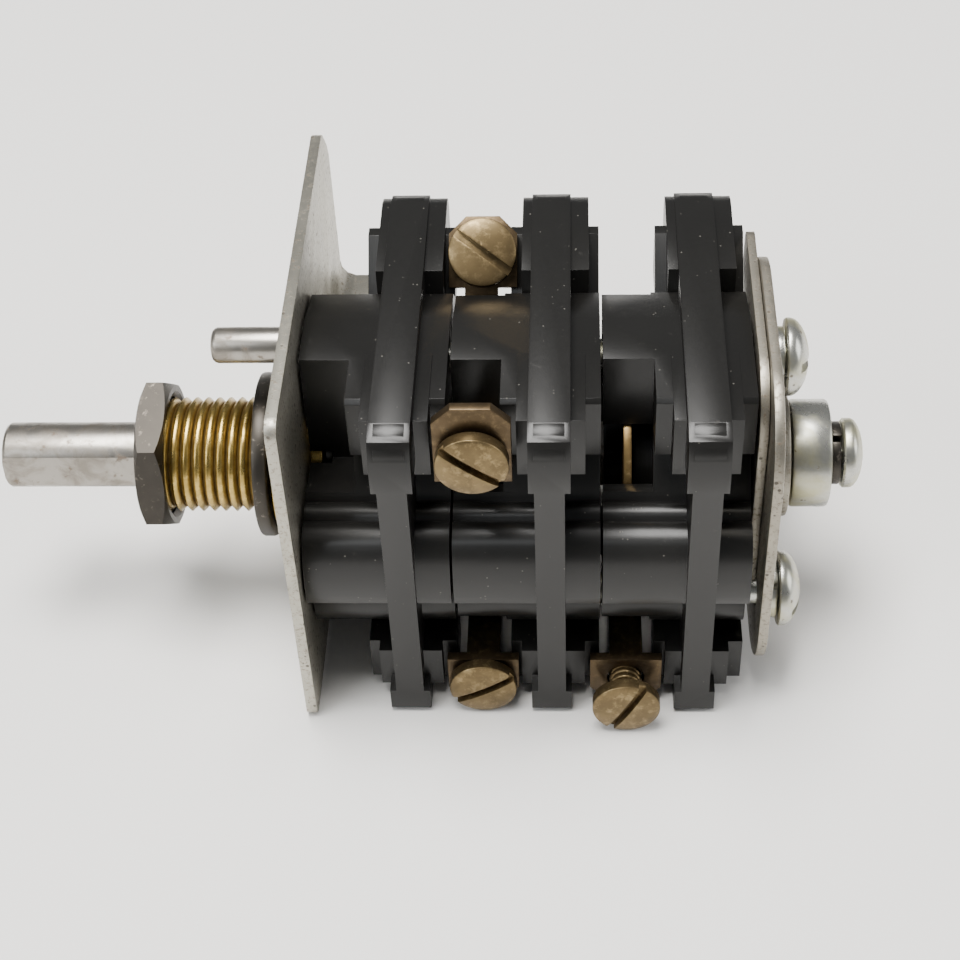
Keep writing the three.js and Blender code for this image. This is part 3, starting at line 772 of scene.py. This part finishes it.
def rear_stack():
    disc = in_frame(ring("rear_washer_detail", REAR + 0.25, REAR + 2.8, COLLAR_BORE_R,
                         REAR_WASHER_R, 0.3))
    settle(disc, "rear_washer", "spindle", REAR_PLATE)
    hub = in_frame(ring("rear_collar_detail", REAR + 3.1, REAR + 7.9, COLLAR_BORE_R,
                        COLLAR_R, 0.45))
    settle(hub, "rear_collar", "spindle", ZINC)
    coil = split_ring("end_lock_washer_detail", SHAFT_END + 0.3, 1.1, 1.8, 3.9, 0, 0, 110)
    settle(in_frame(soften(coil, 0.1)), "end_lock_washer", "spindle", DARK)
    screw = slotted("end_screw_detail", 2.7, 1.7, 1.5, 4.3, 6.8, 1.1, 1.3)
    move(screw, turned_matrix("X", 35) @ turned_matrix("Z", 180))
    in_frame(move(screw, Matrix.Translation((SHAFT_END + 1.65, 0, 0))))
    settle(screw, "end_screw", "spindle", ZINC)


for index, angle in enumerate(BOLT_ANGLES, 1):
    through_bolt(index, angle)
rear_stack()


# ---- floor, light and camera ----------------------------------------------
def floor():
    bm = bmesh.new()
    bmesh.ops.create_grid(bm, x_segments=1, y_segments=1, size=1.2)
    made = from_bmesh("table", bm)
    made.data.materials.append(table_top())


def soft_light(name, place, target, size, power, tint=(1, 1, 1)):
    light = bpy.data.lights.new(name, "AREA")
    light.shape, light.size, light.size_y = "RECTANGLE", size[0], size[1]
    light.energy, light.color = power, tint
    made = new_object(name, light)
    made.location = place
    made.rotation_euler = (Vector(target) - Vector(place)).to_track_quat("-Z", "Y").to_euler()


def surroundings():
    world = bpy.data.worlds.new("room")
    bpy.context.scene.world = world
    world.use_nodes = True
    back = world.node_tree.nodes["Background"]
    back.inputs["Color"].default_value = (0.80, 0.82, 0.85, 1)
    back.inputs["Strength"].default_value = 0.26


CAMERA_TURN = (44.75, 3.94, -2.87)          # down, aside and roll, in degrees
CAMERA_PLACE = (31.94, -173.01, 189.85)     # millimetres, height above the table
LENS = 72.56


def camera():
    """Looks down from the front, turned and rolled a little as a hand-set tripod is."""
    pitch, yaw, roll = (math.radians(d) for d in CAMERA_TURN)
    ahead = Vector((-math.sin(yaw) * math.cos(pitch), math.cos(yaw) * math.cos(pitch),
                    -math.sin(pitch)))
    level = Vector((math.cos(yaw), math.sin(yaw), 0))
    above = level.cross(ahead)
    right = level * math.cos(roll) + above * math.sin(roll)
    up = above * math.cos(roll) - level * math.sin(roll)
    data = bpy.data.cameras.new("camera")
    data.lens, data.sensor_width = LENS, 36
    data.clip_start, data.clip_end = 0.01, 10
    made = new_object("camera", data)
    place = to_frame(*CAMERA_PLACE) - Vector((0, 0, AXIS.z))
    rotation = Matrix((right, up, -ahead)).transposed().to_4x4()
    made.matrix_world = Matrix.Translation(place) @ rotation
    bpy.context.scene.camera = made


floor()
soft_light("key", (-0.10, 0.04, 0.85), (0, 0, 0.02), (0.55, 0.40), 17.0, (1, 0.985, 0.96))
soft_light("fill", (-0.55, -0.35, 0.45), (0, 0, 0.02), (0.5, 0.5), 3.5, (0.95, 0.98, 1))
soft_light("side", (0.65, -0.05, 0.35), (0, 0, 0.02), (0.4, 0.5), 2.5)
surroundings()
camera()
